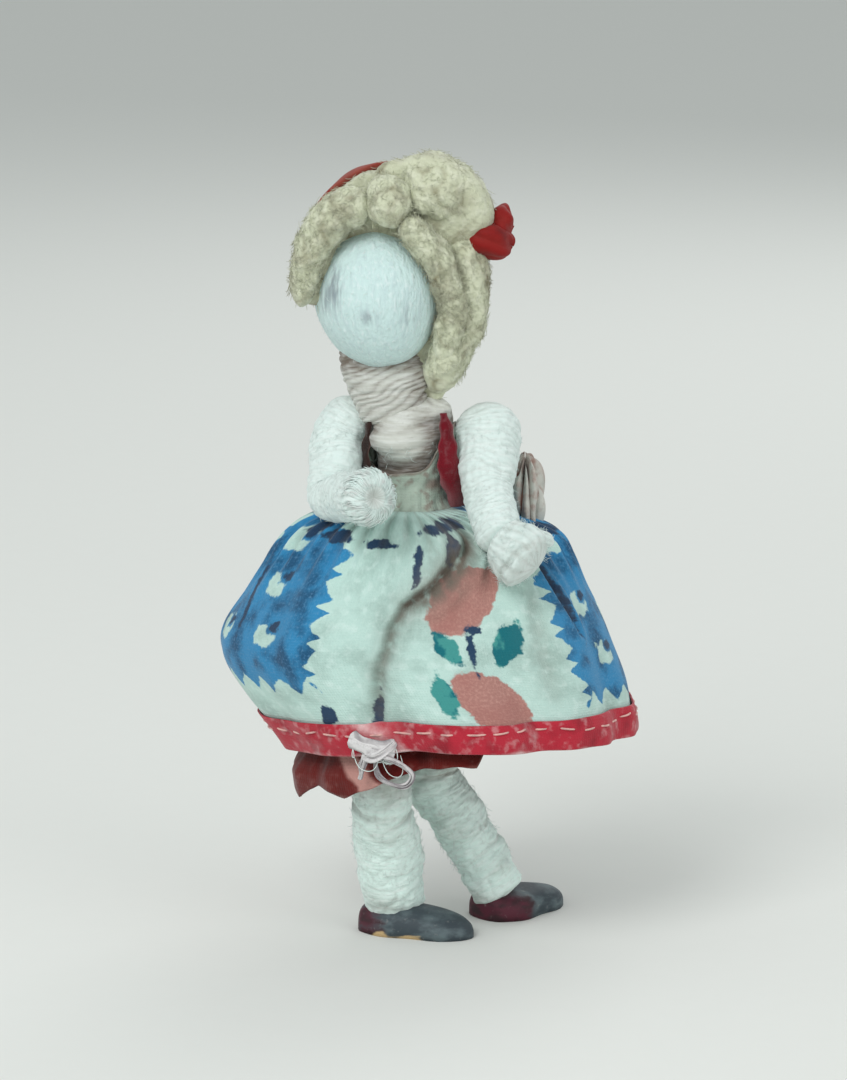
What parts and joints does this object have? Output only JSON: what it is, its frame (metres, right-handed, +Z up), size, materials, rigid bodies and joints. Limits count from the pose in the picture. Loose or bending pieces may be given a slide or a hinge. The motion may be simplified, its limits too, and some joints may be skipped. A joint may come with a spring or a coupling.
{
  "type": "miniature doll",
  "caption": "Thread-wound wire doll with a blank fibre face, wool hair, print cotton dress, petticoat and shoes; neck, arms and legs bend and hold a pose.",
  "frame": {"origin": "on the floor under the middle of the doll's bounding box", "axes": "+Z up from the soles to the crown, the doll faces -Y and its own left side is on +X"},
  "size_m": [0.0471, 0.0384, 0.0887],
  "materials": {
    "thread": "matte white cotton thread, close wound",
    "wire": "bare soft iron wire",
    "fibre": "matte combed fibre, bluish white",
    "wool": "matte cream wool",
    "ribbon": "matte red cloth ribbon",
    "print_cotton": "pale cotton with a printed pattern",
    "tape": "red woven tape with white running stitches",
    "strap": "dark red cloth",
    "petticoat": "worn dark red cloth",
    "shoe": "worn dark paint, satin"
  },
  "bodies": {
    "torso": {"torso_wrap": "thread", "spine_wire": "wire", "shoulder_wire": "wire", "hip_wire": "wire", "bodice": "print_cotton", "right_strap": "strap", "left_strap": "strap", "skirt": "print_cotton", "side_ruffle": "print_cotton", "hem_tape": "tape", "petticoat": "petticoat"},
    "neck": {"neck_wrap": "thread", "neck_wire": "wire"},
    "head": {"head_ball": "fibre", "hair_cap": "wool", "crown_roll": "wool", "forelock": "wool", "right_side_lock": "wool", "left_front_lock": "wool", "left_side_lock": "wool", "ribbon_band": "ribbon", "ribbon_knot": "ribbon"},
    "right_upper_arm": {"right_upper_arm_wrap": "thread", "right_upper_arm_wire": "wire"},
    "right_forearm": {"right_forearm_wrap": "thread", "right_forearm_wire": "wire", "right_hand": "thread"},
    "right_thigh": {"right_thigh_wrap": "thread", "right_thigh_wire": "wire"},
    "right_shin": {"right_shin_wrap": "thread", "right_shin_wire": "wire"},
    "right_foot": {"right_shoe": "shoe"},
    "left_upper_arm": {"left_upper_arm_wrap": "thread", "left_upper_arm_wire": "wire"},
    "left_forearm": {"left_forearm_wrap": "thread", "left_forearm_wire": "wire", "left_hand": "thread"},
    "left_thigh": {"left_thigh_wrap": "thread", "left_thigh_wire": "wire"},
    "left_shin": {"left_shin_wrap": "thread", "left_shin_wire": "wire"},
    "left_foot": {"left_shoe": "shoe"}
  },
  "joints": [
    {"name": "neck_nod", "type": "hinge", "parent": "torso", "child": "neck", "pos_m": [-0.0047, 0, 0.0616], "axis": [1, 0, 0], "range_deg": [-12, 15]},
    {"name": "head_turn", "type": "hinge", "parent": "neck", "child": "head", "pos_m": [-0.00589, 0, 0.07203], "axis": [-0.1132, 0, 0.9936], "range_deg": [-60, 60]},
    {"name": "right_shoulder", "type": "hinge", "parent": "torso", "child": "right_upper_arm", "pos_m": [-0.0101, 0, 0.0563], "axis": [-1, 0, 0], "range_deg": [0, 60]},
    {"name": "right_elbow", "type": "hinge", "parent": "right_upper_arm", "child": "right_forearm", "pos_m": [-0.0112, -0.00368, 0.04997], "axis": [0.7969, 0.4514, -0.4014], "range_deg": [-8, 8]},
    {"name": "left_shoulder", "type": "hinge", "parent": "torso", "child": "left_upper_arm", "pos_m": [0.0063, 0, 0.0563], "axis": [-1, 0, 0], "range_deg": [0, 70]},
    {"name": "left_elbow", "type": "hinge", "parent": "left_upper_arm", "child": "left_forearm", "pos_m": [0.00719, -0.00461, 0.05058], "axis": [-0.9534, -0.2134, -0.2134], "range_deg": [0, 66]},
    {"name": "right_hip", "type": "hinge", "parent": "torso", "child": "right_thigh", "pos_m": [-0.0062, 0, 0.0342], "axis": [-1, 0, 0], "range_deg": [-6, 8]},
    {"name": "right_knee", "type": "hinge", "parent": "right_thigh", "child": "right_shin", "pos_m": [-0.00498, -0.00689, 0.01848], "axis": [0.866, 0.5, 0], "range_deg": [0, 36]},
    {"name": "right_ankle", "type": "hinge", "parent": "right_shin", "child": "right_foot", "pos_m": [-0.0044, -0.00355, 0.0049], "axis": [-0.4226, -0.9063, 0], "range_deg": [-12, 18]},
    {"name": "left_hip", "type": "hinge", "parent": "torso", "child": "left_thigh", "pos_m": [0.0016, 0, 0.0342], "axis": [-1, 0, 0], "range_deg": [-28, 6]},
    {"name": "left_knee", "type": "hinge", "parent": "left_thigh", "child": "left_shin", "pos_m": [0.00045, 0.00096, 0.01706], "axis": [0.866, 0.5, 0], "range_deg": [0, 55]},
    {"name": "left_ankle", "type": "hinge", "parent": "left_shin", "child": "left_foot", "pos_m": [0.00732, 0.00193, 0.0049], "axis": [0.6428, -0.766, 0], "range_deg": [-12, 18]}
  ]
}
